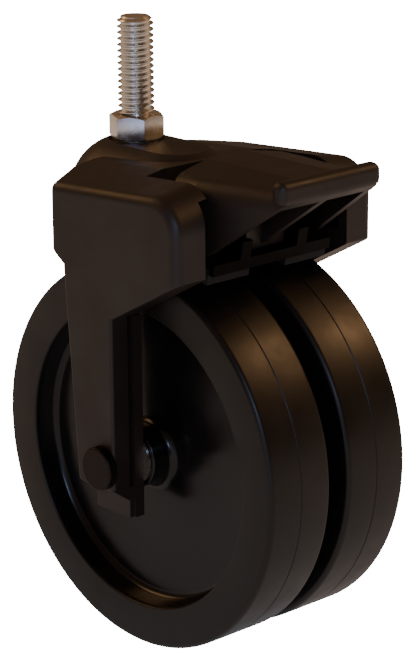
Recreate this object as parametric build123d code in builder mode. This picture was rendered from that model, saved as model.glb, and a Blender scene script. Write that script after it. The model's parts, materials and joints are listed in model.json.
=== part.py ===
"""Twin-wheel swivel caster with a threaded stem and a foot brake.

Origin: swivel axis at the top face of the stem's hexagon. +Z runs up the stem, +X points to the
brake pedal and the trailing wheels, +Y along the axle. All sizes are in millimetres.
Sizes named "ahead" and "over" are measured from the axle, forwards (+X) and upwards (+Z).
"""
from build123d import *
from math import cos, degrees, radians, sin
import os

os.makedirs("parts", exist_ok=True)

# ---------------------------------------------------------------- stem and stance
stud_diameter = 9.525          # 3/8"-16 stud, major diameter
stud_length = 25.4
stud_chamfer = 1.0
hex_across_flats = 12.7
hex_height = 6.35
hex_corner = 0.7               # corners turned down to this beyond the flats
hex_turn = 5.1                 # turn of the flats about the stem
stem_over_wheel = 31.8         # hexagon's top face above the treads
trail = 24.0                   # swivel axis to axle, level

# ---------------------------------------------------------------- wheels
wheel_diameter = 101.6
wheel_width = 20.35
wheel_gap = 6.1                # between the two wheels
tyre_face_height = 10.9        # tread to the recess, on the wheel's side
tyre_body_height = 9.6         # tread to the rim beneath
tyre_lip = 1.6                 # tyre's lip beside the rim
tyre_shoulder = 1.4
recess_edge_fillet = 0.5
parting_width = 0.5
parting_depth = 0.2
recess_depth = 6.4
recess_draft = 1.0
recess_fillet = 1.6
web_thickness = 4.6
hub_radius = 7.8
hub_fillet = 2.4
bush_wall = 1.6
hub_washer_radius = 6.8
hub_end_play = 0.2

# ---------------------------------------------------------------- axle
axle_diameter = 6.0
axle_head_diameter = 11.2
axle_head_height = 2.5
axle_spigot_diameter = 4.4
axle_spigot_length = 1.5
spacer_wall = 2.4

# ---------------------------------------------------------------- yoke
leg_thickness = 9.45           # leg and skirt, from their inner face to the yoke's side
wheel_side_gap = 0.85          # wheel to leg and skirt
wheel_top_gap = 2.7            # tread to hood
leg_front = 4.0                # ahead
leg_back_foot = 9.8            # leg's back edge behind the axle, at its foot
leg_back_head = 14.3           # and at its head
leg_foot = 5.6                 # outer plate's foot below the axle
leg_foot_slope = 3.8           # and how much lower that foot is at the groove
leg_plate = 5.4                # thickness of the leg's outer plate
leg_groove = 1.1               # groove between outer and inner plate
leg_groove_depth = 1.4
leg_lug = 14.0                 # inner plate's foot below the axle
leg_lug_back = 9.0
leg_lug_proud = 0.8            # inner plate ahead of the outer one
leg_edge_fillet = 0.8
skirt_front = 28.6             # ahead
skirt_low_front = 2.3          # over the treads
skirt_low_back = -11.3         # over the treads, where the skirt meets the leg
skirt_corner = 3.4
leg_corner = 8.0
hood_back = 18.4               # hood's back corner behind the axle
hood_step = 1.6                # over the treads
hood_step_height = 2.8         # the step's slope down to the leg
hood_waist = 22.0              # half width where the hood's back edge turns
hood_waist_back = 24.2         # that turn's distance behind the axle
shoulder_drop = 2.9            # fall of each shoulder from crown to side
roof_half_flat = 16.0          # flat of the roof, each side of the middle
crown_gap = 0.35               # hexagon to crown
roof_below_crown = 2.7         # roof under the crown's top, on the swivel axis
roof_rise = 3.8                # the roof rises forwards by this angle
roof_thickness = 3.2
crown_front = 28.1             # roof's front edge ahead of the swivel axis
back_wall = 3.0
crown_flat = 8.0               # radius of the crown's flat top
crown_shoulder = 12.9          # radius at the middle of its rounded side
crown_fall = 7.8               # height of that side
crown_bulge = 0.38             # share of the fall reached at that radius
crown_reach = 16.0             # the crown runs on forwards as a rounded mound
rib_thickness = 2.6
rib_middle = 5.5               # ribs ahead of the swivel axis
hood_back_fillet = 2.2
front_round = 9.0              # roof to the skirts' front
side_fillet = 2.6
skirt_wall = 3.0               # skirt's outer and front walls round its cored pockets
skirt_rib = 2.2
pocket_width = 6.4

# ---------------------------------------------------------------- swivel bearing
kingpin_diameter = 9.0
kingpin_collar_radius = 6.0
kingpin_tail = 1.3
bearing_radius = 12.0
bearing_width = 7.0
bearing_spacing = 4.0          # between the two bearings
inner_race_radius = 6.8
outer_race_bore = 9.75
ball_diameter = 3.96
ball_count = 8
groove_clearance = 0.04
cage_width = 5.4
cage_inner_radius = 7.6
cage_outer_radius = 8.9
crown_roof = 2.5               # crown above the upper bearing
housing_wall = 4.4
retainer_thickness = 2.2
retainer_bore = 8.0
clip_thickness = 1.0
clip_radius = 6.2
clip_groove = 0.6
clip_mouth = 5.0
seal_height = 1.6
seal_wall = 1.2

# ---------------------------------------------------------------- brake
pivot_ahead = 9.0
pivot_over = 13.2              # over the treads
pivot_diameter = 5.0
pivot_boss_radius = 5.2
pivot_socket = 3.0             # pin's length inside each skirt
brake_travel = 14.0            # pedal's turn from free to locked, degrees
shoe_gap = 0.4                 # shoe to tread when locked
shoe_thickness = 4.2
shoe_width = 14.0
shoe_start = 66.0              # shoe's span about the axle when locked, degrees
shoe_end = 82.0
bracket_thickness = 1.5
bracket_lip = 3.0
bracket_half_width = 20.0
lug_offset = 9.6
lug_width = 3.4
lug_height = 4.6
screw_radius = 1.5
screw_head_radius = 2.6
screw_head_height = 1.5
screw_length = 4.5
screw_tip_gap = 0.8            # hole beyond the screw's end
bracket_screw_offset = 3.4
pad_boss_half_width = 6.6
pad_boss_start = 68.0
pad_boss_height = 6.0
pedal_top = 26.5               # over the treads
pedal_back = 10.2              # ahead
pedal_back_curve = 2.6         # its back edge curves forwards this much at the sides
pedal_side_gap = 0.9           # pedal to the slot in the roof
pedal_front = 46.6             # ahead
pedal_half_back = 20.6
pedal_half_front = 16.3
pedal_straight = 20.0          # ahead, where the sides start to close in
pedal_panel_half = 6.5
pedal_side_drop = 2.2
pedal_skin = 2.4
pedal_wall = 2.4
pedal_rib_low = 1.9            # lower end of the ribs, over the treads
pedal_rib_low_ahead = 17.5
pedal_front_low = 22.2         # over the treads
pedal_edge_fillet = 5.0
lip_thickness = 4.6
lip_height = 6.0
lip_low = 22.0                 # over the treads
lip_fillet = 2.0
lip_end_fillet = 1.8
lip_overhang = 0.6             # lip past the pedal's front corners

spring_thickness = 0.8
spring_width = 10.0
spring_back = 17.2             # ahead of the swivel axis
spring_bend = 25.6
spring_tip_x = 29.4
spring_tip_z = -13.9

running = 0.05                 # radial clearance of a running fit

# ---------------------------------------------------------------- derived places
stem_to_floor = stem_over_wheel + wheel_diameter
wheel_radius = wheel_diameter / 2
axle_radius = axle_diameter / 2
axle_x = trail
axle_z = wheel_radius - stem_to_floor
wheel_inner = wheel_gap / 2
wheel_outer = wheel_inner + wheel_width
wheel_middle = (wheel_inner + wheel_outer) / 2
fork_inner = wheel_outer + wheel_side_gap
yoke_half_width = fork_inner + leg_thickness
skirt_root = wheel_radius + skirt_low_back
crown_z = -hex_height - crown_gap
roof_z = crown_z - roof_below_crown
bearing_top = crown_z - crown_roof
lower_bearing_top = bearing_top - bearing_width - bearing_spacing
bearing_bottom = lower_bearing_top - bearing_width
housing_bottom = bearing_bottom - retainer_thickness
housing_radius = bearing_radius + housing_wall
pivot_x = axle_x + pivot_ahead
pivot_height = wheel_radius + pivot_over
pivot_z = axle_z + pivot_height

axle_plane = Plane(origin=(axle_x, 0, axle_z), x_dir=(0, 1, 0), z_dir=(1, 0, 0))
axle_axis = Axis((axle_x, 0, axle_z), (0, 1, 0))
side_plane = Plane.XZ
swivel_plane = Plane.XZ


def ahead(distance):
    """X of a place given ahead of the axle."""
    return axle_x + distance


def over(height):
    """Z of a place given above the axle."""
    return axle_z + height


def over_treads(height):
    """Z of a place given above the top of the treads."""
    return axle_z + wheel_radius + height


def finish(builder, name):
    """Label a finished piece and write it."""
    builder.part.label = name
    export_step(builder.part, f"parts/{name}.step")


def roof_section(lower, half_width, flat, drop, z_top, rise):
    """YZ outline of a ridge roof, on a plane that leans back by the rise."""
    lean = radians(rise)
    plane = Plane(origin=(0, 0, z_top - lower), x_dir=(0, 1, 0), z_dir=(cos(lean), 0, sin(lean)))
    slope = drop / (half_width - flat)
    reach = 1.2 * half_width
    eave = -slope * (reach - flat)
    deep = -2 * wheel_diameter
    return plane, [(-reach, deep), (-reach, eave), (-flat, 0), (flat, 0), (reach, eave), (reach, deep)]


# ================================================================ threaded stem
hex_face_down = Plane.XY.offset(-hex_height)
with BuildPart() as threaded_stem:
    with BuildSketch(hex_face_down):
        RegularPolygon(hex_across_flats / 2, 6, major_radius=False, rotation=hex_turn)
    extrude(amount=hex_height)
    with BuildSketch(hex_face_down):
        Circle(hex_across_flats / 2 + hex_corner)
    extrude(amount=hex_height, mode=Mode.INTERSECT)
    with BuildSketch(Plane.XY):
        Circle(stud_diameter / 2)
    extrude(amount=stud_length)
    chamfer(threaded_stem.edges().group_by(Axis.Z)[-1], stud_chamfer)
    with BuildSketch(hex_face_down):
        Circle(kingpin_collar_radius)
    extrude(amount=bearing_top + hex_height)
    with BuildSketch(Plane.XY.offset(bearing_top)):
        Circle(kingpin_diameter / 2)
    extrude(amount=bearing_bottom - clip_thickness - kingpin_tail - bearing_top)
    chamfer(threaded_stem.edges().group_by(Axis.Z)[0], clip_groove)
    with BuildSketch(Plane.XY.offset(bearing_bottom)):
        Circle(kingpin_diameter)
        Circle(kingpin_diameter / 2 - clip_groove, mode=Mode.SUBTRACT)
    extrude(amount=-clip_thickness, mode=Mode.SUBTRACT)
finish(threaded_stem, "threaded_stem")


# ================================================================ swivel bearings
def race_groove(z_middle):
    """Centre of a bearing's ball circle, as radius and height."""
    return (inner_race_radius + outer_race_bore) / 2, z_middle


def make_race(name, bore, outside, z_top):
    """One bearing race with its ball groove."""
    with BuildPart() as race:
        with BuildSketch(swivel_plane):
            with Locations(((bore + outside) / 2, z_top - bearing_width / 2)):
                Rectangle(outside - bore, bearing_width)
            with Locations(race_groove(z_top - bearing_width / 2)):
                Circle(ball_diameter / 2 + groove_clearance, mode=Mode.SUBTRACT)
        revolve(axis=Axis.Z)
    finish(race, name)


def make_balls(name, z_top):
    """A bearing's set of balls."""
    radius, height = race_groove(z_top - bearing_width / 2)
    with BuildPart() as balls:
        with Locations((0, 0, height)):
            with PolarLocations(radius, ball_count):
                Sphere(ball_diameter / 2)
    finish(balls, name)


def make_cage(name, z_top):
    """The ring that keeps a bearing's balls apart."""
    height = z_top - bearing_width / 2
    with BuildPart() as cage:
        with BuildSketch(Plane.XY.offset(height - cage_width / 2)):
            Circle(cage_outer_radius)
            Circle(cage_inner_radius, mode=Mode.SUBTRACT)
        extrude(amount=cage_width)
        for number in range(ball_count):
            turn = radians(360 / ball_count * number)
            with BuildSketch(Plane(origin=(0, 0, height), x_dir=(0, 0, 1), z_dir=(cos(turn), sin(turn), 0))):
                Circle(ball_diameter / 2 + groove_clearance)
            extrude(amount=bearing_radius, mode=Mode.SUBTRACT)
    finish(cage, name)


for level, top in (("upper", bearing_top), ("lower", lower_bearing_top)):
    make_race(f"{level}_bearing_inner_race", kingpin_diameter / 2, inner_race_radius, top)
    make_race(f"{level}_bearing_outer_race", outer_race_bore, bearing_radius, top)
    make_balls(f"{level}_bearing_balls", top)
    make_cage(f"{level}_bearing_cage", top)


def make_ring(name, bore, outside, z_top, height):
    """A plain ring on the swivel axis."""
    with BuildPart() as ring:
        with BuildSketch(Plane.XY.offset(z_top - height)):
            Circle(outside)
            Circle(bore, mode=Mode.SUBTRACT)
        extrude(amount=height)
    finish(ring, name)


spacer_top = bearing_top - bearing_width
make_ring("bearing_inner_spacer", kingpin_diameter / 2, inner_race_radius, spacer_top, bearing_spacing)
make_ring("bearing_outer_spacer", outer_race_bore, bearing_radius, spacer_top, bearing_spacing)
make_ring("bearing_retainer", retainer_bore, bearing_radius, bearing_bottom, retainer_thickness)
seal_bore = kingpin_collar_radius + running
make_ring("dust_seal", seal_bore, seal_bore + seal_wall, crown_z - crown_gap, seal_height)

with BuildPart() as retaining_clip:
    with BuildSketch(Plane.XY.offset(bearing_bottom - clip_thickness)):
        Circle(clip_radius)
        Circle(kingpin_diameter / 2 - clip_groove, mode=Mode.SUBTRACT)
        with Locations((clip_radius, 0)):
            Rectangle(2 * clip_radius, clip_mouth, mode=Mode.SUBTRACT)
    extrude(amount=clip_thickness)
finish(retaining_clip, "retaining_clip")

# ================================================================ wheels
tyre_bore = wheel_radius - tyre_face_height
rim_radius = wheel_radius - tyre_body_height
recess_floor = wheel_outer - recess_depth
web_inner = recess_floor - web_thickness
hub_bore = axle_radius + bush_wall
hub_blend = 0.6


def at(side, points):
    """Points given as distance out from the middle and radius, on one side of the middle."""
    return [(side * out, radius) for out, radius in points]


for place, side in (("near", -1), ("far", 1)):
    with BuildPart() as tyre:
        with BuildSketch(axle_plane):
            with BuildLine():
                Polyline(
                    *at(side, [
                        (wheel_inner, tyre_bore), (wheel_inner, wheel_radius),
                        (wheel_middle - parting_width / 2, wheel_radius),
                        (wheel_middle, wheel_radius - parting_depth),
                        (wheel_middle + parting_width / 2, wheel_radius),
                        (wheel_outer, wheel_radius), (wheel_outer, tyre_bore),
                        (wheel_outer - tyre_lip, tyre_bore), (wheel_outer - tyre_lip, rim_radius),
                        (wheel_inner + tyre_lip, rim_radius), (wheel_inner + tyre_lip, tyre_bore),
                    ]),
                    close=True,
                )
            make_face()
        revolve(axis=axle_axis)
        rims = tyre.edges().filter_by(GeomType.CIRCLE)
        shoulders = [edge for edge in rims if edge.radius > wheel_radius - 0.01
                     and abs(abs(edge.center().Y) - wheel_middle) > wheel_width / 3]
        fillet(shoulders, tyre_shoulder)
        bore_edge = [edge for edge in tyre.edges().filter_by(GeomType.CIRCLE)
                     if abs(edge.radius - tyre_bore) < 0.01 and abs(edge.center().Y) > wheel_outer - 0.01]
        fillet(bore_edge, recess_edge_fillet)
    finish(tyre, f"{place}_tyre")

    with BuildPart() as core:
        with BuildSketch(axle_plane):
            with BuildLine():
                Polyline(
                    *at(side, [
                        (wheel_inner + tyre_lip, rim_radius), (wheel_outer - tyre_lip, rim_radius),
                        (wheel_outer - tyre_lip, tyre_bore), (recess_floor, tyre_bore - recess_draft),
                        (recess_floor, hub_radius), (wheel_outer, hub_radius),
                        (wheel_outer, hub_bore), (wheel_inner, hub_bore), (wheel_inner, hub_radius),
                        (web_inner, hub_radius), (web_inner, tyre_bore - recess_draft),
                        (wheel_inner + tyre_lip, tyre_bore),
                    ]),
                    close=True,
                )
            make_face()
        revolve(axis=axle_axis)
        corners = [edge for edge in core.edges().filter_by(GeomType.CIRCLE)
                   if abs(edge.radius - (tyre_bore - recess_draft)) < 0.01]
        fillet(corners, recess_fillet)
        hub_roots = [edge for edge in core.edges().filter_by(GeomType.CIRCLE)
                     if abs(edge.radius - hub_radius) < 0.01
                     and wheel_inner + 0.1 < abs(edge.center().Y) < wheel_outer - 0.1]
        fillet(hub_roots, hub_fillet)
        hub_ends = [edge for edge in core.edges().filter_by(GeomType.CIRCLE)
                    if abs(edge.radius - hub_radius) < 0.01
                    and (abs(edge.center().Y) > wheel_outer - 0.1 or abs(edge.center().Y) < wheel_inner + 0.1)]
        fillet(hub_ends, hub_blend)
    finish(core, f"{place}_wheel_core")

    with BuildPart() as bush:
        with BuildSketch(axle_plane):
            with Locations((side * wheel_middle, (axle_radius + running + hub_bore) / 2)):
                Rectangle(wheel_width, hub_bore - axle_radius - running)
        revolve(axis=axle_axis)
    finish(bush, f"{place}_wheel_bush")

    with BuildPart() as hub_washer:
        with BuildSketch(axle_plane):
            with Locations((side * (wheel_outer + fork_inner + hub_end_play) / 2,
                            (axle_radius + hub_washer_radius) / 2)):
                Rectangle(wheel_side_gap - hub_end_play, hub_washer_radius - axle_radius)
        revolve(axis=axle_axis)
    finish(hub_washer, f"{place}_hub_washer")

with BuildPart() as centre_spacer:
    with BuildSketch(axle_plane):
        with Locations((0, axle_radius + spacer_wall / 2)):
            Rectangle(wheel_gap - 2 * hub_end_play, spacer_wall)
    revolve(axis=axle_axis)
finish(centre_spacer, "centre_spacer")

# ================================================================ axle
head_edge = 0.5
with BuildPart() as axle:
    with BuildSketch(axle_plane):
        with BuildLine():
            Polyline(
                (-yoke_half_width - axle_head_height, 0),
                (-yoke_half_width - axle_head_height, axle_head_diameter / 2),
                (-yoke_half_width, axle_head_diameter / 2), (-yoke_half_width, axle_radius),
                (yoke_half_width, axle_radius), (yoke_half_width, axle_spigot_diameter / 2),
                (yoke_half_width + axle_spigot_length, axle_spigot_diameter / 2),
                (yoke_half_width + axle_spigot_length, 0),
                close=True,
            )
        make_face()
    revolve(axis=axle_axis)
    fillet(axle.faces().sort_by(Axis.Y)[0].edges(), head_edge)
finish(axle, "axle")

with BuildPart() as axle_cap:
    with BuildSketch(axle_plane):
        with BuildLine():
            Polyline(
                (yoke_half_width + axle_head_height, 0),
                (yoke_half_width + axle_head_height, axle_head_diameter / 2),
                (yoke_half_width, axle_head_diameter / 2), (yoke_half_width, axle_spigot_diameter / 2),
                (yoke_half_width + axle_spigot_length, axle_spigot_diameter / 2),
                (yoke_half_width + axle_spigot_length, 0),
                close=True,
            )
        make_face()
    revolve(axis=axle_axis)
    fillet(axle_cap.faces().sort_by(Axis.Y)[-1].edges(), head_edge)
finish(axle_cap, "axle_cap")

# ================================================================ yoke
high = 10.0                    # above everything on the yoke
hood_plan = [
    (ahead(-hood_back), -yoke_half_width), (ahead(skirt_front), -yoke_half_width),
    (ahead(skirt_front), yoke_half_width), (ahead(-hood_back), yoke_half_width),
    (ahead(-hood_waist_back), hood_waist), (ahead(-hood_waist_back), -hood_waist),
]
hood_side = [
    (-housing_radius, high), (ahead(skirt_front), high), (ahead(skirt_front), over_treads(skirt_low_front)),
    (ahead(leg_front), over(skirt_root)), (ahead(leg_front), over(-leg_foot)),
    (ahead(-leg_back_foot), over(-leg_foot)),
    (ahead(-leg_back_head), over_treads(hood_step - hood_step_height / 2)),
    (ahead(-hood_back), over_treads(hood_step + hood_step_height / 2)),
    (-housing_radius, over_treads(hood_step + hood_step_height / 2)),
]
roof_plane, roof_outline = roof_section(
    0, yoke_half_width, roof_half_flat, shoulder_drop, roof_z, roof_rise)
ceiling_plane, ceiling_outline = roof_section(
    roof_thickness, yoke_half_width, roof_half_flat, shoulder_drop, roof_z, roof_rise)

with BuildPart() as hood_cavity:
    with BuildSketch(Plane.XY.offset(2 * axle_z)):
        with BuildLine():
            Polyline(*hood_plan, close=True)
        make_face()
        offset(amount=-back_wall, kind=Kind.INTERSECTION)
        with Locations((ahead(skirt_front), 0)):
            Rectangle(4 * back_wall, 2 * fork_inner)
        with Locations((ahead(0), 0)):
            Rectangle(2 * wheel_diameter, 2 * fork_inner, mode=Mode.INTERSECT)
    extrude(amount=high - 2 * axle_z)
    with BuildSketch(ceiling_plane):
        with BuildLine():
            Polyline(*ceiling_outline, close=True)
        make_face()
    extrude(amount=wheel_diameter, both=True, mode=Mode.INTERSECT)

crown_side = [
    (crown_flat, crown_z), (crown_shoulder, crown_z - crown_fall * crown_bulge),
    (housing_radius, crown_z - crown_fall),
]


def crown_outline():
    """Half outline of the crown, from the swivel axis out."""
    with BuildLine() as outline:
        Line((0, crown_z), crown_side[0])
        ThreePointArc(*crown_side)
        Polyline(crown_side[2], (0, crown_z - crown_fall), (0, crown_z))
    return outline.line


with BuildPart() as crown_mound:
    with BuildSketch(Plane.YZ):
        add(crown_outline())
        make_face()
        mirror(about=Plane.YZ)
    extrude(amount=crown_reach)
    with BuildSketch(Plane(origin=(crown_reach, 0, 0), x_dir=(1, 0, 0), z_dir=(0, -1, 0))):
        add(crown_outline())
        make_face()
    revolve(axis=Axis((crown_reach, 0, 0), (0, 0, 1)))
    split(bisect_by=Plane.XY.offset(roof_z - roof_thickness / 3), keep=Keep.TOP)

with BuildPart() as yoke_housing:
    with BuildSketch(Plane.XY.offset(2 * axle_z)):
        with BuildLine():
            Polyline(*hood_plan, close=True)
        make_face()
    extrude(amount=high - 2 * axle_z)
    with BuildSketch(side_plane) as side_outline:
        with BuildLine():
            Polyline(*hood_side, close=True)
        make_face()
        corners = side_outline.vertices()
        low_front = corners.sort_by_distance((ahead(skirt_front), 0, over_treads(skirt_low_front)))[0]
        fillet(low_front, skirt_corner)
        leg_root = side_outline.vertices().sort_by_distance((ahead(leg_front), 0, over(skirt_root)))[0]
        fillet(leg_root, leg_corner)
    extrude(amount=yoke_half_width, both=True, mode=Mode.INTERSECT)
    with BuildSketch(roof_plane):
        with BuildLine():
            Polyline(*roof_outline, close=True)
        make_face()
    extrude(amount=wheel_diameter, both=True, mode=Mode.INTERSECT)
    front_top = [edge for edge in yoke_housing.edges()
                 if edge.bounding_box().min.X > ahead(skirt_front) - 0.01
                 and edge.bounding_box().min.Z > roof_z - shoulder_drop]
    fillet(front_top, front_round)
    outer_rim = [edge for edge in yoke_housing.edges()
                 if edge.bounding_box().size.Y < 0.01
                 and abs(edge.center().Y) > yoke_half_width - 0.01
                 and (edge.center().Z > roof_z - front_round * 2 or edge.center().X > ahead(skirt_front) - 0.01)
                 and edge.center().X > ahead(-hood_back) + 0.01]
    fillet(outer_rim, side_fillet)
    hood_back_top = [edge for edge in yoke_housing.edges()
                     if edge.center().X < ahead(-hood_back) + back_wall
                     and edge.bounding_box().min.Z > roof_z - 2 * shoulder_drop
                     and edge.bounding_box().size.Y > back_wall]
    fillet(hood_back_top, hood_back_fillet)

    leg_edges = [edge for edge in yoke_housing.edges()
                 if abs(edge.center().Y) > yoke_half_width - 0.01
                 and edge.bounding_box().size.Y < 0.01
                 and edge.bounding_box().size.Z > leg_front
                 and edge.center().Z < over_treads(skirt_low_front)]
    fillet(leg_edges, leg_edge_fillet)

    add(crown_mound.part)

    # legs and skirts stand apart; the hood is hollow between them
    with BuildSketch(side_plane.offset(-fork_inner)):
        with Locations((axle_x, axle_z)):
            Circle(wheel_radius + wheel_top_gap)
    extrude(amount=2 * fork_inner, mode=Mode.SUBTRACT)
    add(hood_cavity.part, mode=Mode.SUBTRACT)
    with BuildSketch(Plane.XY.offset(2 * axle_z)):
        with Locations((crown_front + wheel_diameter / 2, 0)):
            Rectangle(wheel_diameter, 2 * (pedal_half_back + pedal_side_gap))
    extrude(amount=high - 2 * axle_z, mode=Mode.SUBTRACT)

    # cored pockets in the inner face of each skirt, with ribs between them
    pocket_low = over(wheel_radius + wheel_top_gap + skirt_wall)
    pocket_top = roof_z - shoulder_drop - skirt_wall
    pocket_depth = yoke_half_width - skirt_wall - fork_inner
    pocket_pitch = pocket_width + skirt_rib
    for side in (-1, 1):
        for number in range(2):
            middle = ahead(skirt_front) - skirt_wall - pocket_width / 2 - number * pocket_pitch
            with BuildSketch(Plane.XY.offset(pocket_low)):
                with Locations((middle, side * (fork_inner + pocket_depth / 2))):
                    Rectangle(pocket_width, pocket_depth)
            extrude(amount=pocket_top - pocket_low - number * shoulder_drop, mode=Mode.SUBTRACT)

    # bearing housing under a rounded crown
    with BuildSketch(swivel_plane):
        add(crown_outline())
        make_face()
        with Locations((housing_radius / 2, (crown_z - crown_fall + housing_bottom) / 2)):
            Rectangle(housing_radius, crown_z - crown_fall - housing_bottom)
    revolve(axis=Axis.Z)
    for side in (-1, 1):
        with BuildSketch(Plane.XY.offset(housing_bottom)):
            with Locations((rib_middle, side * (housing_radius + fork_inner) / 2)):
                Rectangle(rib_thickness, fork_inner - housing_radius + 2 * back_wall)
        extrude(amount=roof_z - shoulder_drop - housing_bottom)

    # leg feet: a groove parts the outer plate from the inner one, which reaches lower
    groove_out = yoke_half_width - leg_plate
    groove_in = groove_out - leg_groove
    for side in (-1, 1):
        lug_plane = Plane(origin=(ahead(-leg_lug_back), 0, axle_z), x_dir=(0, side, 0), z_dir=(side, 0, 0))
        with BuildSketch(lug_plane):
            with BuildLine():
                Polyline(
                    (fork_inner, -leg_foot), (fork_inner, -leg_lug), (groove_out, -leg_lug),
                    (groove_out, -leg_foot - leg_foot_slope), (yoke_half_width, -leg_foot),
                    close=True,
                )
            make_face()
        extrude(amount=side * (leg_lug_back + leg_front))
        with BuildSketch(Plane.XY.offset(over(-leg_lug))):
            with Locations((ahead(leg_front + leg_lug_proud / 2), side * (fork_inner + groove_in) / 2)):
                Rectangle(leg_lug_proud, groove_in - fork_inner)
        extrude(amount=leg_lug + skirt_root)
        with BuildSketch(Plane.XY.offset(over(-leg_foot))):
            with Locations((ahead(leg_front), side * (groove_out + groove_in) / 2)):
                Rectangle(2 * leg_groove_depth, leg_groove)
        extrude(amount=leg_foot + skirt_root, mode=Mode.SUBTRACT)

    # bores for the bearings, axle and pivot pin
    with BuildSketch(Plane.XY.offset(housing_bottom)):
        Circle(bearing_radius)
    extrude(amount=bearing_top - housing_bottom, mode=Mode.SUBTRACT)
    with BuildSketch(Plane.XY.offset(bearing_top)):
        Circle(seal_bore + seal_wall)
    extrude(amount=high, mode=Mode.SUBTRACT)
    with BuildSketch(side_plane.offset(-2 * yoke_half_width)):
        with Locations((axle_x, axle_z)):
            Circle(axle_radius)
    extrude(amount=4 * yoke_half_width, mode=Mode.SUBTRACT)
    with BuildSketch(side_plane.offset(-fork_inner - pivot_socket)):
        with Locations((pivot_x, pivot_z)):
            Circle(pivot_diameter / 2)
    extrude(amount=2 * (fork_inner + pivot_socket), mode=Mode.SUBTRACT)
finish(yoke_housing, "yoke_housing")

# ================================================================ brake
with BuildPart() as pivot_pin:
    with BuildSketch(side_plane.offset(-fork_inner - pivot_socket)):
        with Locations((pivot_x, pivot_z)):
            Circle(pivot_diameter / 2)
    extrude(amount=2 * (fork_inner + pivot_socket))
finish(pivot_pin, "brake_pivot_pin")


def locked_plane(offset_y):
    """Side plane on the axle as the pedal's own pieces see it when the brake is locked."""
    turn = radians(brake_travel)
    back_x = pivot_x - pivot_ahead * cos(turn) + pivot_height * sin(turn)
    back_z = pivot_z - pivot_ahead * sin(turn) - pivot_height * cos(turn)
    return Plane(origin=(back_x, offset_y, back_z), x_dir=(cos(turn), 0, sin(turn)), z_dir=(0, -1, 0))


def polar(radius, angle):
    return radius * cos(radians(angle)), radius * sin(radians(angle))


def sector(inner, outer, start, end):
    """Outline of a ring sector about the sketch's origin."""
    middle = (start + end) / 2
    with BuildLine() as outline:
        Line(polar(inner, start), polar(outer, start))
        ThreePointArc(polar(outer, start), polar(outer, middle), polar(outer, end))
        Line(polar(outer, end), polar(inner, end))
        ThreePointArc(polar(inner, end), polar(inner, middle), polar(inner, start))
    return outline.line


shoe_inner = wheel_radius + shoe_gap
shoe_outer = shoe_inner + shoe_thickness
bracket_outer = shoe_outer + bracket_thickness

for place, side in (("near", -1), ("far", 1)):
    with BuildPart() as shoe:
        with BuildSketch(locked_plane(side * wheel_middle + shoe_width / 2)):
            add(sector(shoe_inner, shoe_outer, shoe_start, shoe_end))
            make_face()
        extrude(amount=shoe_width)
    finish(shoe, f"{place}_brake_shoe")

lip_angle = degrees(bracket_thickness / shoe_outer)
with BuildPart() as brake_bracket:
    with BuildSketch(locked_plane(bracket_half_width)):
        add(sector(shoe_outer, bracket_outer, shoe_start, shoe_end))
        make_face()
    extrude(amount=2 * bracket_half_width)
    with BuildSketch(locked_plane(bracket_half_width)):
        add(sector(bracket_outer - bracket_lip, bracket_outer, shoe_start - lip_angle, shoe_start))
        make_face()
    extrude(amount=2 * bracket_half_width)
    for side in (-1, 1):
        with BuildSketch(locked_plane(side * lug_offset + lug_width / 2)):
            add(sector(bracket_outer, bracket_outer + lug_height, shoe_start - lip_angle, shoe_start))
            make_face()
        extrude(amount=lug_width)
    screw_axis_plane = Plane(
        origin=locked_plane(0).from_local_coords((*polar(shoe_outer, (shoe_start + shoe_end) / 2), 0)),
        x_dir=(0, 1, 0),
        z_dir=locked_plane(0).from_local_coords((*polar(1, (shoe_start + shoe_end) / 2), 0))
        - locked_plane(0).origin,
    )
    with BuildSketch(screw_axis_plane):
        with Locations((-bracket_screw_offset, 0), (bracket_screw_offset, 0)):
            Circle(screw_radius)
    extrude(amount=2 * bracket_thickness, mode=Mode.SUBTRACT)
    with BuildSketch(screw_axis_plane):
        with Locations((-bracket_screw_offset, 0), (bracket_screw_offset, 0)):
            Circle(screw_head_radius)
    extrude(amount=-screw_head_height, mode=Mode.SUBTRACT)
finish(brake_bracket, "brake_bracket")

with BuildPart() as bracket_screws:
    with BuildSketch(screw_axis_plane):
        with Locations((-bracket_screw_offset, 0), (bracket_screw_offset, 0)):
            Circle(screw_radius)
    extrude(amount=screw_length)
    with BuildSketch(screw_axis_plane):
        with Locations((-bracket_screw_offset, 0), (bracket_screw_offset, 0)):
            Circle(screw_head_radius)
    extrude(amount=-screw_head_height)
finish(bracket_screws, "bracket_screws")

pedal_side = [
    (ahead(pedal_back), high), (ahead(pedal_front), high), (ahead(pedal_front), over_treads(pedal_front_low)),
    (ahead(pedal_rib_low_ahead), over_treads(pedal_rib_low)), (pivot_x, pivot_z - pivot_boss_radius),
    (pivot_x, pivot_z + pivot_boss_radius), (ahead(pedal_back), pivot_z + pivot_boss_radius),
]
pedal_plan = [
    (ahead(pedal_back) + pedal_back_curve, -pedal_half_back), (ahead(pedal_straight), -pedal_half_back),
    (ahead(pedal_front), -pedal_half_front), (ahead(pedal_front), pedal_half_front),
    (ahead(pedal_straight), pedal_half_back), (ahead(pedal_back) + pedal_back_curve, pedal_half_back),
]
deck_plane, deck_outline = roof_section(
    0, pedal_half_back, pedal_panel_half, pedal_side_drop, over_treads(pedal_top), 0)
under_plane, under_outline = roof_section(
    pedal_skin, pedal_half_back, pedal_panel_half, pedal_side_drop, over_treads(pedal_top), 0)

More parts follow.
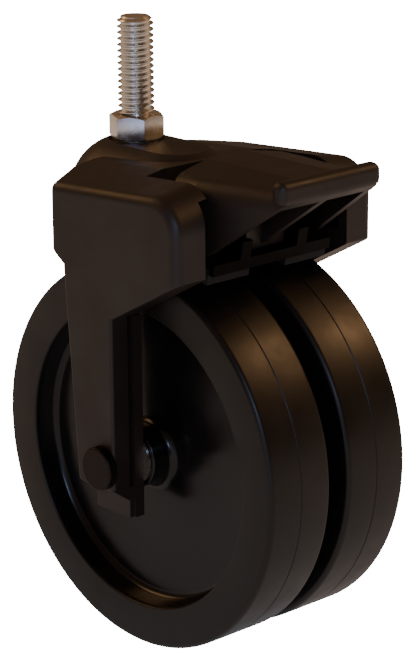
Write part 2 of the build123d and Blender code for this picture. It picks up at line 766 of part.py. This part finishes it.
with BuildPart() as pedal_hollow:
    with BuildSketch(Plane.XY.offset(2 * axle_z)):
        with BuildLine():
            Polyline(*pedal_plan)
            ThreePointArc(pedal_plan[-1], (ahead(pedal_back), 0), pedal_plan[0])
        make_face()
        offset(amount=-pedal_wall, kind=Kind.INTERSECTION)
        Rectangle(8 * wheel_diameter, pedal_wall, mode=Mode.SUBTRACT)
    extrude(amount=high - 2 * axle_z)
    with BuildSketch(under_plane):
        with BuildLine():
            Polyline(*under_outline, close=True)
        make_face()
    extrude(amount=wheel_diameter, both=True, mode=Mode.INTERSECT)

with BuildPart() as pad_boss:
    with BuildSketch(locked_plane(pad_boss_half_width)):
        add(sector(bracket_outer, bracket_outer + pad_boss_height, pad_boss_start, shoe_end))
        make_face()
    extrude(amount=2 * pad_boss_half_width)
    with BuildSketch(screw_axis_plane):
        with Locations((-bracket_screw_offset, 0), (bracket_screw_offset, 0)):
            Circle(screw_radius)
    extrude(amount=screw_length + screw_tip_gap, mode=Mode.SUBTRACT)

with BuildPart() as pedal_lip:
    with BuildSketch(side_plane):
        with Locations((ahead(pedal_front) - lip_thickness / 4, over_treads(lip_low + lip_height / 2))):
            RectangleRounded(lip_thickness, lip_height, lip_fillet)
    extrude(amount=pedal_half_front + lip_overhang, both=True)
    lip_ends = [edge for edge in pedal_lip.edges() if edge.bounding_box().size.Y < 0.01]
    fillet(lip_ends, lip_end_fillet)

with BuildPart() as brake_pedal:
    with BuildSketch(Plane.XY.offset(2 * axle_z)):
        with BuildLine():
            Polyline(*pedal_plan)
            ThreePointArc(pedal_plan[-1], (ahead(pedal_back), 0), pedal_plan[0])
        make_face()
    extrude(amount=high - 2 * axle_z)
    with BuildSketch(side_plane):
        with BuildLine():
            Polyline(*pedal_side, close=True)
        make_face()
    extrude(amount=yoke_half_width, both=True, mode=Mode.INTERSECT)
    with BuildSketch(deck_plane):
        with BuildLine():
            Polyline(*deck_outline, close=True)
        make_face()
    extrude(amount=wheel_diameter, both=True, mode=Mode.INTERSECT)
    deck_edges = [edge for edge in brake_pedal.edges()
                  if edge.bounding_box().min.Z > over_treads(pedal_top) - pedal_side_drop - 0.01
                  and edge.bounding_box().size.X > pedal_wall
                  and abs(edge.center().Y) > pedal_half_front]
    fillet(deck_edges, pedal_edge_fillet)
    add(pedal_hollow.part, mode=Mode.SUBTRACT)
    add(pedal_lip.part)
    with BuildSketch(side_plane.offset(-pedal_half_back)):
        with Locations((pivot_x, pivot_z)):
            Circle(pivot_boss_radius)
    extrude(amount=2 * pedal_half_back)
    with BuildSketch(locked_plane(fork_inner)):
        Circle(bracket_outer)
    extrude(amount=2 * fork_inner, mode=Mode.SUBTRACT)
    add(pad_boss.part)
    with BuildSketch(side_plane.offset(-fork_inner)):
        with Locations((pivot_x, pivot_z)):
            Circle(pivot_diameter / 2 + running)
    extrude(amount=2 * fork_inner, mode=Mode.SUBTRACT)
finish(brake_pedal, "brake_pedal")

# ================================================================ detent spring
ceiling_z = roof_z - roof_thickness + spring_back * sin(radians(roof_rise))
with BuildPart() as detent_spring:
    with BuildSketch(side_plane.offset(-spring_width / 2)):
        with BuildLine():
            Polyline(
                (spring_back, ceiling_z), (spring_bend, ceiling_z), (spring_tip_x, spring_tip_z),
                (spring_tip_x - spring_thickness, spring_tip_z - spring_thickness / 2),
                (spring_bend - spring_thickness / 2, ceiling_z - spring_thickness),
                (spring_back, ceiling_z - spring_thickness),
                close=True,
            )
        make_face()
    extrude(amount=spring_width)
finish(detent_spring, "detent_spring")
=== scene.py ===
"""Looks for the swivel stem caster: turned wheels, cut thread, materials, studio."""
import bmesh
import bpy
import json
from math import cos, pi, radians, sin, tan
from mathutils import Matrix, Vector


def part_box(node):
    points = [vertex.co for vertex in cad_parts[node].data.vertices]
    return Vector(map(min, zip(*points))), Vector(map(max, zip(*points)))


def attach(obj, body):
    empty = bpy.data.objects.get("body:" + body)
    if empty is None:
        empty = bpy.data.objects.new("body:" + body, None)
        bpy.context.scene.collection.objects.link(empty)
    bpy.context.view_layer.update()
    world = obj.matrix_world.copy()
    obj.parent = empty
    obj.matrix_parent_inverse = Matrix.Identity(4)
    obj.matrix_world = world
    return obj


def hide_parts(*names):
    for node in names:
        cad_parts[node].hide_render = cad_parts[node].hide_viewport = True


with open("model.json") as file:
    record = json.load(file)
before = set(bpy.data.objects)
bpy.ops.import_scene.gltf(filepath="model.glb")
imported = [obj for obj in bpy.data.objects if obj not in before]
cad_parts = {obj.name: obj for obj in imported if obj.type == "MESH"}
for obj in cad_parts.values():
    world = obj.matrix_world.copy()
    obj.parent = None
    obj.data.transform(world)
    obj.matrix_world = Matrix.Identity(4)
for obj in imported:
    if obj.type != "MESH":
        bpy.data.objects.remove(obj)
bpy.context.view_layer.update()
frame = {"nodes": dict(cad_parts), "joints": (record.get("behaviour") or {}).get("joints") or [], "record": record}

MM = 0.001

# ---------------------------------------------------------------- places taken from the frame
joints = {joint["name"]: joint for joint in frame["joints"]}
AXLE = Vector(joints["near_wheel_spin"]["pos_m"])
tyre_low, tyre_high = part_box("near_tyre")
core_low, core_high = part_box("near_wheel_core")
bush_low, bush_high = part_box("near_wheel_bush")
stem_low, stem_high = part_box("threaded_stem")
floor_z = tyre_low.z

WHEEL_RADIUS = (tyre_high.z - tyre_low.z) / 2
WHEEL_INNER = -tyre_high.y
WHEEL_OUTER = -tyre_low.y
RIM_RADIUS = (core_high.z - core_low.z) / 2
HUB_BORE = (bush_high.z - bush_low.z) / 2
STUD_LENGTH = stem_high.z

# ---------------------------------------------------------------- design sizes
TYRE_FACE = 10.9 * MM          # tread to the recess, on the wheel's side
TYRE_LIP = 1.6 * MM
TYRE_SHOULDER = 1.4 * MM
RECESS_DEPTH = 6.4 * MM
RECESS_DRAFT = 1.0 * MM
WEB = 4.6 * MM
HUB_RADIUS = 7.8 * MM
INNER_EDGE = 0.4 * MM          # rounding of the tyre's lip, towards the other wheel
RECESS_EDGE = 0.5 * MM         # and at the recess
RECESS_FILLET = 1.6 * MM
HUB_FILLET = 2.4 * MM
HUB_EDGE = 0.6 * MM
PARTING = 0.22 * MM            # half width and depth of the tread's parting line
STUD_RADIUS = 4.7625 * MM
THREAD_PITCH = 25.4 / 16 * MM
THREAD_DEPTH = 0.6134 * THREAD_PITCH
STUD_CHAMFER = 1.1 * MM
HEX_FLATS = 12.7 * MM
HEX_HEIGHT = 6.35 * MM
HEX_TURN = radians(5.1)
HEX_ROUND = 0.97               # radius of the hexagon's round end faces, as a share of half its flats
HEX_EDGE = 0.16 * MM
COLLAR_RADIUS = 6.0 * MM
COLLAR_FOOT = -9.2 * MM
COLLAR_SUNK = 0.2 * MM         # collar inside the hexagon
KINGPIN_RADIUS = 4.5 * MM
KINGPIN_CHAMFER = 0.6 * MM
CUT_TOLERANCE = MM / 100000    # a cut moves no point that is further from its plane


# ================================================================ bpy helpers
def deselect():
    """Nothing selected, so that an operator acts on the new piece alone."""
    bpy.ops.object.select_all(action="DESELECT")


def lift(name):
    """Names the piece just added and makes it the only one selected."""
    piece = bpy.context.object
    piece.name = name
    piece.data.name = name
    return piece


def at_origin(piece):
    """Puts the piece's place into its mesh."""
    deselect()
    piece.select_set(True)
    bpy.context.view_layer.objects.active = piece
    bpy.ops.object.transform_apply(location=True, rotation=True, scale=True)


def apply(piece, kind, **settings):
    """Adds a modifier with its settings and applies it."""
    deselect()
    piece.select_set(True)
    bpy.context.view_layer.objects.active = piece
    modifier = piece.modifiers.new(kind.lower(), kind)
    for key, value in settings.items():
        setattr(modifier, key, value)
    bpy.ops.object.modifier_apply(modifier=modifier.name)


def smooth(piece, angle):
    """Smooth faces with sharp edges past an angle."""
    deselect()
    piece.select_set(True)
    bpy.context.view_layer.objects.active = piece
    bpy.ops.object.shade_smooth_by_angle(angle=radians(angle))


def profile_loop(name, points, rounds=()):
    """A closed profile in the XZ plane, with chosen corners rounded by vertex bevels."""
    deselect()
    bpy.ops.mesh.primitive_plane_add(size=MM)
    piece = lift(name)
    bpy.ops.object.mode_set(mode="EDIT")
    bpy.ops.mesh.select_all(action="SELECT")
    bpy.ops.mesh.merge(type="CENTER")
    bpy.ops.transform.translate(value=points[0])
    for here, there in zip(points, points[1:]):
        step = Vector(there) - Vector(here)
        bpy.ops.mesh.extrude_region_move(TRANSFORM_OT_translate={"value": step})
    mesh = bmesh.from_edit_mesh(piece.data)
    for vertex in mesh.verts:
        ends = (Vector(points[0]), Vector(points[-1]))
        vertex.select = any((vertex.co - end).length < MM / 1000 for end in ends)
    bmesh.update_edit_mesh(piece.data)
    bpy.ops.mesh.edge_face_add()
    for corner, radius in rounds:
        mesh = bmesh.from_edit_mesh(piece.data)
        mesh.select_mode = {"VERT"}
        for vertex in mesh.verts:
            vertex.select = (vertex.co - Vector(corner)).length < MM / 1000
        mesh.select_flush_mode()
        bmesh.update_edit_mesh(piece.data)
        bpy.ops.mesh.bevel(offset=radius, offset_type="OFFSET", segments=6, affect="VERTICES")
    return piece


def turned(name, points, rounds=(), axis=(0, 0, 1), steps=160):
    """A turned piece: the profile spun once round its axis through the origin."""
    piece = profile_loop(name, points, rounds)
    bpy.ops.mesh.select_all(action="SELECT")
    bpy.ops.mesh.spin(steps=steps, angle=2 * pi, center=(0, 0, 0), axis=axis)
    bpy.ops.mesh.select_all(action="SELECT")
    bpy.ops.mesh.remove_doubles(threshold=MM / 2000)
    bpy.ops.mesh.delete_loose()
    bpy.ops.mesh.select_all(action="SELECT")
    bpy.ops.mesh.normals_make_consistent(inside=False)
    bpy.ops.object.mode_set(mode="OBJECT")
    return piece


# ================================================================ materials
def shade(code):
    """sRGB hex to linear colour with alpha."""
    channels = [int(code[i:i + 2], 16) / 255 for i in (0, 2, 4)]
    linear = [c / 12.92 if c <= 0.04045 else ((c + 0.055) / 1.055) ** 2.4 for c in channels]
    return (*linear, 1)


def add_node(tree, kind, settings=(), values=(), links=()):
    """Adds a node with its settings, its socket values and its incoming links."""
    node = tree.nodes.new(kind)
    for key, value in dict(settings).items():
        setattr(node, key, value)
    for key, value in dict(values).items():
        node.inputs[key].default_value = value
    for key, source in dict(links).items():
        tree.links.new(source, node.inputs[key])
    return node


def new_material(name, colour, roughness, metallic=0.0, ior=None):
    """A material with its shader's plain values set."""
    material = bpy.data.materials.new(name)
    material.use_nodes = True
    shader = material.node_tree.nodes["Principled BSDF"]
    shader.inputs["Base Color"].default_value = shade(colour)
    shader.inputs["Roughness"].default_value = roughness
    shader.inputs["Metallic"].default_value = metallic
    if ior:
        shader.inputs["IOR"].default_value = ior
    return material, material.node_tree, shader


def moulded_nylon():
    """Glass-filled nylon, injection moulded with a fine spark texture: near-black brown, a broad
    soft sheen and faint flow clouds where the texture is worn smoother."""
    material, tree, shader = new_material("moulded_nylon", "1B1715", 0.5, ior=1.53)
    place = add_node(tree, "ShaderNodeTexCoord")
    clouds = add_node(tree, "ShaderNodeTexNoise",
                      values={"Scale": 1 / (14 * MM), "Detail": 4.0, "Roughness": 0.6},
                      links={"Vector": place.outputs["Object"]})
    tone = add_node(tree, "ShaderNodeMix", {"data_type": "RGBA"},
                    links={"Factor": clouds.outputs["Fac"]})
    tone.inputs["A"].default_value = shade("17110D")
    tone.inputs["B"].default_value = shade("241A13")
    tree.links.new(tone.outputs["Result"], shader.inputs["Base Color"])
    gloss = add_node(tree, "ShaderNodeMapRange",
                     values={"From Min": 0.3, "From Max": 0.7, "To Min": 0.42, "To Max": 0.56},
                     links={"Value": clouds.outputs["Fac"]})
    tree.links.new(gloss.outputs["Result"], shader.inputs["Roughness"])
    # spark texture pits, drawn 0.35 mm apart so that they show
    pits = add_node(tree, "ShaderNodeTexNoise",
                    values={"Scale": 1 / (0.35 * MM), "Detail": 2.0, "Roughness": 0.5},
                    links={"Vector": place.outputs["Object"]})
    bump = add_node(tree, "ShaderNodeBump", values={"Strength": 0.22, "Distance": 0.05 * MM},
                    links={"Height": pits.outputs["Fac"]})
    tree.links.new(bump.outputs["Normal"], shader.inputs["Normal"])
    return material


def tread_rubber():
    """Thermoplastic tread, moulded then buffed by handling: brown-black with a satin surface that
    is unevenly polished round the circumference."""
    material, tree, shader = new_material("tread_rubber", "171412", 0.4, ior=1.5)
    shader.inputs["Specular IOR Level"].default_value = 0.4
    place = add_node(tree, "ShaderNodeTexCoord")
    clouds = add_node(tree, "ShaderNodeTexNoise",
                      values={"Scale": 1 / (9 * MM), "Detail": 3.0, "Roughness": 0.55},
                      links={"Vector": place.outputs["Object"]})
    tone = add_node(tree, "ShaderNodeMix", {"data_type": "RGBA"},
                    links={"Factor": clouds.outputs["Fac"]})
    tone.inputs["A"].default_value = shade("0C0A08")
    tone.inputs["B"].default_value = shade("15110E")
    tree.links.new(tone.outputs["Result"], shader.inputs["Base Color"])
    gloss = add_node(tree, "ShaderNodeMapRange",
                     values={"From Min": 0.3, "From Max": 0.7, "To Min": 0.33, "To Max": 0.44},
                     links={"Value": clouds.outputs["Fac"]})
    tree.links.new(gloss.outputs["Result"], shader.inputs["Roughness"])
    grain = add_node(tree, "ShaderNodeTexNoise",
                     values={"Scale": 1 / (0.5 * MM), "Detail": 2.0, "Roughness": 0.5},
                     links={"Vector": place.outputs["Object"]})
    bump = add_node(tree, "ShaderNodeBump", values={"Strength": 0.1, "Distance": 0.03 * MM},
                    links={"Height": grain.outputs["Fac"]})
    tree.links.new(bump.outputs["Normal"], shader.inputs["Normal"])
    return material


def gloss_polypropylene():
    """Polypropylene wheel centre straight from a polished mould: cool black, glossy, with the
    faint ripple of shrinkage."""
    material, tree, shader = new_material("gloss_polypropylene", "0B0B0D", 0.2, ior=1.49)
    shader.inputs["Specular IOR Level"].default_value = 0.4
    place = add_node(tree, "ShaderNodeTexCoord")
    ripple = add_node(tree, "ShaderNodeTexNoise",
                      values={"Scale": 1 / (12 * MM), "Detail": 2.0, "Roughness": 0.5},
                      links={"Vector": place.outputs["Object"]})
    gloss = add_node(tree, "ShaderNodeMapRange",
                     values={"From Min": 0.3, "From Max": 0.7, "To Min": 0.17, "To Max": 0.27},
                     links={"Value": ripple.outputs["Fac"]})
    tree.links.new(gloss.outputs["Result"], shader.inputs["Roughness"])
    tone = add_node(tree, "ShaderNodeMix", {"data_type": "RGBA"},
                    links={"Factor": ripple.outputs["Fac"]})
    tone.inputs["A"].default_value = shade("08080A")
    tone.inputs["B"].default_value = shade("100F10")
    tree.links.new(tone.outputs["Result"], shader.inputs["Base Color"])
    bump = add_node(tree, "ShaderNodeBump", values={"Strength": 0.15, "Distance": 0.1 * MM},
                    links={"Height": ripple.outputs["Fac"]})
    tree.links.new(bump.outputs["Normal"], shader.inputs["Normal"])
    return material


def plated_steel(name, light, dark, rough_low, rough_high, grain_mm):
    """Bright zinc over turned or pressed steel: clear metal with a blotchy passivated film and
    fine tool marks."""
    material, tree, shader = new_material(name, light, rough_low, metallic=1.0)
    place = add_node(tree, "ShaderNodeTexCoord")
    film = add_node(tree, "ShaderNodeTexNoise",
                    values={"Scale": 1 / (2.2 * MM), "Detail": 5.0, "Roughness": 0.65},
                    links={"Vector": place.outputs["Object"]})
    tone = add_node(tree, "ShaderNodeMix", {"data_type": "RGBA"},
                    links={"Factor": film.outputs["Fac"]})
    tone.inputs["A"].default_value = shade(dark)
    tone.inputs["B"].default_value = shade(light)
    tree.links.new(tone.outputs["Result"], shader.inputs["Base Color"])
    gloss = add_node(tree, "ShaderNodeMapRange",
                     values={"From Min": 0.3, "From Max": 0.7, "To Min": rough_low, "To Max": rough_high},
                     links={"Value": film.outputs["Fac"]})
    tree.links.new(gloss.outputs["Result"], shader.inputs["Roughness"])
    marks = add_node(tree, "ShaderNodeTexNoise",
                     values={"Scale": 1 / (grain_mm * MM), "Detail": 3.0, "Roughness": 0.6},
                     links={"Vector": place.outputs["Object"]})
    bump = add_node(tree, "ShaderNodeBump", values={"Strength": 0.25, "Distance": 0.03 * MM},
                    links={"Height": marks.outputs["Fac"]})
    tree.links.new(bump.outputs["Normal"], shader.inputs["Normal"])
    return material


def acetal():
    """Natural acetal, turned: milky white, softly glossy, with faint lathe clouding."""
    material, tree, shader = new_material("natural_acetal", "D9D6CB", 0.35, ior=1.48)
    place = add_node(tree, "ShaderNodeTexCoord")
    haze = add_node(tree, "ShaderNodeTexNoise", values={"Scale": 1 / (3 * MM), "Detail": 3.0},
                    links={"Vector": place.outputs["Object"]})
    tone = add_node(tree, "ShaderNodeMix", {"data_type": "RGBA"}, links={"Factor": haze.outputs["Fac"]})
    tone.inputs["A"].default_value = shade("CFCBBE")
    tone.inputs["B"].default_value = shade("E2E0D6")
    tree.links.new(tone.outputs["Result"], shader.inputs["Base Color"])
    return material


def shoe_rubber():
    """Moulded rubber, cured matte, with a dusting of talc in its pores; its near-black is darkened further as
    painted shade for the brake shoe in the shadow under the pedal.
    """
    material, tree, shader = new_material("shoe_rubber", "171717", 0.75, ior=1.52)
    place = add_node(tree, "ShaderNodeTexCoord")
    dust = add_node(tree, "ShaderNodeTexNoise", values={"Scale": 1 / (1.2 * MM), "Detail": 4.0},
                    links={"Vector": place.outputs["Object"]})
    # talc dust at random, between two colours that are darkened as painted shade for the shoe under the pedal
    tone = add_node(tree, "ShaderNodeMix", {"data_type": "RGBA"}, links={"Factor": dust.outputs["Fac"]})
    tone.inputs["A"].default_value = shade("0A0A0A")
    tone.inputs["B"].default_value = shade("131212")
    tree.links.new(tone.outputs["Result"], shader.inputs["Base Color"])
    bump = add_node(tree, "ShaderNodeBump", values={"Strength": 0.3, "Distance": 0.05 * MM},
                    links={"Height": dust.outputs["Fac"]})
    tree.links.new(bump.outputs["Normal"], shader.inputs["Normal"])
    return material


nylon = moulded_nylon()
tread = tread_rubber()
polypropylene = gloss_polypropylene()
zinc = plated_steel("bright_zinc", "F4F1EA", "CFCABF", 0.16, 0.32, 0.5)
black_oxide = plated_steel("black_oxide_steel", "3A3532", "26221F", 0.38, 0.55, 0.4)
# the bracket's black finish, its colours darkened further as painted shade for the shadow under the pedal
bracket_steel_painted_shade = plated_steel("dark_bracket_steel_with_painted_shade", "1B1918", "0E0D0D", 0.42, 0.6, 0.4)
bearing_steel = plated_steel("ground_bearing_steel", "C2C3C6", "A5A6AA", 0.12, 0.22, 0.3)
spring_steel = plated_steel("blued_spring_steel", "5A5D66", "3F4147", 0.25, 0.4, 0.4)
cage_brass = plated_steel("turned_brass", "C9A25A", "A98343", 0.25, 0.4, 0.4)
white_acetal = acetal()
rubber = shoe_rubber()

SLOT_MATERIALS = {
    "zinc_steel": zinc, "bearing_steel": bearing_steel, "cage_brass": cage_brass,
    "spring_steel": spring_steel, "yoke_nylon": nylon, "tyre_rubber": tread,
    "core_polypropylene": polypropylene, "bush_acetal": white_acetal,
    "shoe_rubber": rubber, "seal_rubber": rubber, "black_steel": black_oxide,
    "bracket_steel": bracket_steel_painted_shade,
}


def dress_cad_nodes():
    """Every CAD node takes the material of its slot in the record."""
    for subpart in frame["record"]["subparts"]:
        node = frame["nodes"][subpart["node"]]
        node.data.materials.clear()
        node.data.materials.append(SLOT_MATERIALS[subpart["material_slot"]])


dress_cad_nodes()


# ================================================================ wheels
def wheel_point(out, radius):
    """A profile point of the far wheel, in the XZ plane: X is the way out from the middle."""
    return (out, 0, radius)


def make_wheel(place, side, body):
    """A tyre and its wheel centre, turned about the axle and set on one side of the middle."""
    bore = WHEEL_RADIUS - TYRE_FACE
    middle = (WHEEL_INNER + WHEEL_OUTER) / 2
    tyre_points = [
        wheel_point(WHEEL_INNER, bore), wheel_point(WHEEL_INNER, WHEEL_RADIUS),
        wheel_point(middle - PARTING, WHEEL_RADIUS), wheel_point(middle, WHEEL_RADIUS - PARTING),
        wheel_point(middle + PARTING, WHEEL_RADIUS), wheel_point(WHEEL_OUTER, WHEEL_RADIUS),
        wheel_point(WHEEL_OUTER, bore), wheel_point(WHEEL_OUTER - TYRE_LIP, bore),
        wheel_point(WHEEL_OUTER - TYRE_LIP, RIM_RADIUS), wheel_point(WHEEL_INNER + TYRE_LIP, RIM_RADIUS),
        wheel_point(WHEEL_INNER + TYRE_LIP, bore),
    ]
    tyre = turned(f"{place}_tyre_moulded", tyre_points, [
        (wheel_point(WHEEL_INNER, WHEEL_RADIUS), TYRE_SHOULDER),
        (wheel_point(WHEEL_OUTER, WHEEL_RADIUS), TYRE_SHOULDER),
        (wheel_point(WHEEL_INNER, bore), INNER_EDGE), (wheel_point(WHEEL_OUTER, bore), RECESS_EDGE),
    ], axis=(1, 0, 0))
    floor_out = WHEEL_OUTER - RECESS_DEPTH
    web_out = floor_out - WEB
    rim = bore - RECESS_DRAFT
    core_points = [
        wheel_point(WHEEL_INNER + TYRE_LIP, RIM_RADIUS), wheel_point(WHEEL_OUTER - TYRE_LIP, RIM_RADIUS),
        wheel_point(WHEEL_OUTER - TYRE_LIP, bore), wheel_point(floor_out, rim),
        wheel_point(floor_out, HUB_RADIUS), wheel_point(WHEEL_OUTER, HUB_RADIUS),
        wheel_point(WHEEL_OUTER, HUB_BORE), wheel_point(WHEEL_INNER, HUB_BORE),
        wheel_point(WHEEL_INNER, HUB_RADIUS), wheel_point(web_out, HUB_RADIUS),
        wheel_point(web_out, rim), wheel_point(WHEEL_INNER + TYRE_LIP, bore),
    ]
    core = turned(f"{place}_wheel_centre", core_points, [
        (wheel_point(floor_out, rim), RECESS_FILLET), (wheel_point(web_out, rim), RECESS_FILLET),
        (wheel_point(floor_out, HUB_RADIUS), HUB_FILLET), (wheel_point(web_out, HUB_RADIUS), HUB_FILLET),
        (wheel_point(WHEEL_OUTER, HUB_RADIUS), HUB_EDGE), (wheel_point(WHEEL_INNER, HUB_RADIUS), HUB_EDGE),
    ], axis=(1, 0, 0))
    for piece, material, node, slot in (
        (tyre, tread, f"{place}_tyre", "tyre_rubber"),
        (core, polypropylene, f"{place}_wheel_core", "core_polypropylene"),
    ):
        piece.rotation_euler = (0, 0, side * pi / 2)
        piece.location = AXLE
        at_origin(piece)
        smooth(piece, 30)
        piece.data.materials.append(material)
        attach(piece, body)
        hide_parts(node)


make_wheel("near", -1, "near_wheel")
make_wheel("far", 1, "far_wheel")


# ================================================================ threaded stem
def cut_thread():
    """The stud with a real helical thread, cut flat at both ends."""
    root = STUD_RADIUS - THREAD_DEPTH
    crest_flat = THREAD_PITCH / 8
    root_flat = THREAD_PITCH / 4
    flank = (THREAD_PITCH - crest_flat - root_flat) / 2
    turns = int(STUD_LENGTH / THREAD_PITCH) + 3
    heights = (0, root_flat, root_flat + flank, root_flat + flank + crest_flat, THREAD_PITCH)
    radii = (root, root, STUD_RADIUS, STUD_RADIUS, root)
    deselect()
    bpy.ops.mesh.primitive_plane_add(size=MM)
    thread = lift("threaded_stem_plated")
    bpy.ops.object.mode_set(mode="EDIT")
    bpy.ops.mesh.select_all(action="SELECT")
    bpy.ops.mesh.merge(type="CENTER")
    points = [Vector((radius, 0, height - 2 * THREAD_PITCH)) for radius, height in zip(radii, heights)]
    bpy.ops.transform.translate(value=points[0])
    for here, there in zip(points, points[1:]):
        bpy.ops.mesh.extrude_region_move(TRANSFORM_OT_translate={"value": there - here})
    bpy.ops.object.mode_set(mode="OBJECT")
    apply(thread, "SCREW", screw_offset=THREAD_PITCH, iterations=turns, steps=64, render_steps=64,
          use_merge_vertices=True, merge_threshold=MM / 2000, use_smooth_shade=False)
    for height, upwards in ((-THREAD_PITCH / 2, False), (STUD_LENGTH, True)):
        bpy.ops.object.mode_set(mode="EDIT")
        bpy.ops.mesh.select_all(action="SELECT")
        bpy.ops.mesh.remove_doubles(threshold=MM / 2000)
        bpy.ops.mesh.bisect(plane_co=(0, 0, height), plane_no=(0, 0, 1), use_fill=True,
                            clear_outer=upwards, clear_inner=not upwards, threshold=CUT_TOLERANCE)
        bpy.ops.mesh.select_all(action="SELECT")
        bpy.ops.mesh.remove_doubles(threshold=MM / 2000)
        bpy.ops.mesh.normals_make_consistent(inside=False)
        bpy.ops.object.mode_set(mode="OBJECT")
    return thread


def turning(name, points):
    """A solid of revolution about the stem, from (radius, height) points that start and end on its axis."""
    return turned(name, [(radius, 0, height) for radius, height in points], steps=96)


def keep_common(piece, other):
    """Keeps what a piece has in common with another, which is used up."""
    apply(piece, "BOOLEAN", operation="INTERSECT", object=other, solver="EXACT")
    bpy.data.objects.remove(other)


def make_stem():
    """Stud, hexagon and kingpin as one plated piece."""
    stud = cut_thread()
    blank = turning("stud_blank", [
        (0, -THREAD_PITCH), (STUD_RADIUS + MM, -THREAD_PITCH),
        (STUD_RADIUS + MM, STUD_LENGTH - STUD_CHAMFER - MM),
        (STUD_RADIUS - STUD_CHAMFER, STUD_LENGTH), (0, STUD_LENGTH),
    ])
    keep_common(stud, blank)
    deselect()
    corner = HEX_FLATS / 2 / cos(pi / 6)
    bpy.ops.mesh.primitive_cylinder_add(vertices=6, radius=corner, depth=HEX_HEIGHT,
                                        location=(0, 0, -HEX_HEIGHT / 2), rotation=(0, 0, HEX_TURN))
    hexagon = lift("hexagon")
    at_origin(hexagon)
    end_face = HEX_FLATS / 2 * HEX_ROUND
    fall = (corner - end_face) * tan(radians(30))
    rounded = turning("hexagon_blank", [
        (0, -HEX_HEIGHT), (end_face, -HEX_HEIGHT), (corner, -HEX_HEIGHT + fall),
        (corner, -fall), (end_face, 0), (0, 0),
    ])
    keep_common(hexagon, rounded)
    apply(hexagon, "BEVEL", width=HEX_EDGE, segments=2, limit_method="ANGLE", angle_limit=radians(25))
    kingpin = turning("kingpin", [
        (0, stem_low.z), (KINGPIN_RADIUS - KINGPIN_CHAMFER, stem_low.z),
        (KINGPIN_RADIUS, stem_low.z + KINGPIN_CHAMFER), (KINGPIN_RADIUS, COLLAR_FOOT),
        (COLLAR_RADIUS, COLLAR_FOOT), (COLLAR_RADIUS, -HEX_HEIGHT + COLLAR_SUNK),
        (0, -HEX_HEIGHT + COLLAR_SUNK),
    ])
    deselect()
    for part in (hexagon, kingpin, stud):
        part.select_set(True)
    bpy.context.view_layer.objects.active = stud
    bpy.ops.object.join()
    smooth(stud, 28)
    stud.data.materials.append(zinc)
    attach(stud, "stem")
    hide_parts("threaded_stem")


make_stem()


# ================================================================ studio
FLOOR_GLOW = 20.0              # the floor's own light as the camera sees it
FLOOR_BOUNCE = 0.25            # and as it falls on the caster
FLOOR_RADIUS = 6.0


def make_floor():
    """A wide pale floor."""
    deselect()
    bpy.ops.mesh.primitive_circle_add(vertices=96, radius=FLOOR_RADIUS, fill_type="NGON",
                                      location=(0, 0, floor_z))
    floor = lift("studio_floor")
    material, tree, shader = new_material("pale_floor", "F2F2F0", 0.9)
    shader.inputs["Emission Color"].default_value = shade("FFFFFF")
    shader.inputs["Specular IOR Level"].default_value = 0.0
    # the floor looks white without lighting the black plastic from below
    ray = add_node(tree, "ShaderNodeLightPath")
    glow = add_node(tree, "ShaderNodeMapRange", values={"To Min": FLOOR_BOUNCE, "To Max": FLOOR_GLOW},
                    links={"Value": ray.outputs["Is Camera Ray"]})
    tree.links.new(glow.outputs["Result"], shader.inputs["Emission Strength"])
    floor.data.materials.append(material)


def area_light(name, azimuth, elevation, distance, size, energy, colour):
    """A soft box on a sphere round the caster, facing it."""
    data = bpy.data.lights.new(name, "AREA")
    data.shape = "RECTANGLE"
    data.size, data.size_y = size
    data.energy = energy
    data.color = shade(colour)[:3]
    light = bpy.data.objects.new(name, data)
    bpy.context.scene.collection.objects.link(light)
    way = Vector((cos(radians(azimuth)) * cos(radians(elevation)),
                  sin(radians(azimuth)) * cos(radians(elevation)), sin(radians(elevation))))
    light.location = AXLE + way * distance
    light.rotation_euler = way.to_track_quat("Z", "Y").to_euler()


make_floor()
area_light("warm_key", 62, 38, 1.1, (0.32, 0.3), 2.5, "FFC48A")
area_light("cool_front", -40, 26, 0.9, (0.1, 0.14), 1.3, "B4D0FF")
area_light("cool_card", -62, 2, 0.8, (0.3, 0.5), 0.5, "9CBEFF")
area_light("warm_left", 198, 38, 1.1, (0.4, 0.5), 1.9, "FFC68C")

world = bpy.data.worlds.new("studio_air")
bpy.context.scene.world = world
world.use_nodes = True
air = world.node_tree.nodes["Background"]
air.inputs["Color"].default_value = shade("F0BE92")
air.inputs["Strength"].default_value = 0.2


# ================================================================ camera
def make_camera():
    """The camera, from its place and its turns about the axle."""
    azimuth, elevation, roll = radians(47.593), radians(17.021), radians(-0.431)
    place = AXLE + Vector((457.49, -416.12, 218.56)) * MM
    back = Vector((sin(azimuth) * cos(elevation), -cos(azimuth) * cos(elevation), sin(elevation)))
    right = Vector((cos(azimuth), sin(azimuth), 0))
    up = back.cross(right)
    right_rolled = right * cos(roll) + up * sin(roll)
    up_rolled = up * cos(roll) - right * sin(roll)
    data = bpy.data.cameras.new("camera")
    data.sensor_width = 36
    data.sensor_fit = "AUTO"
    data.lens = 136.9
    camera = bpy.data.objects.new("camera", data)
    bpy.context.scene.collection.objects.link(camera)
    turn = Matrix((right_rolled, up_rolled, back)).transposed().to_4x4()
    camera.matrix_world = Matrix.Translation(place) @ turn
    bpy.context.scene.camera = camera


make_camera()
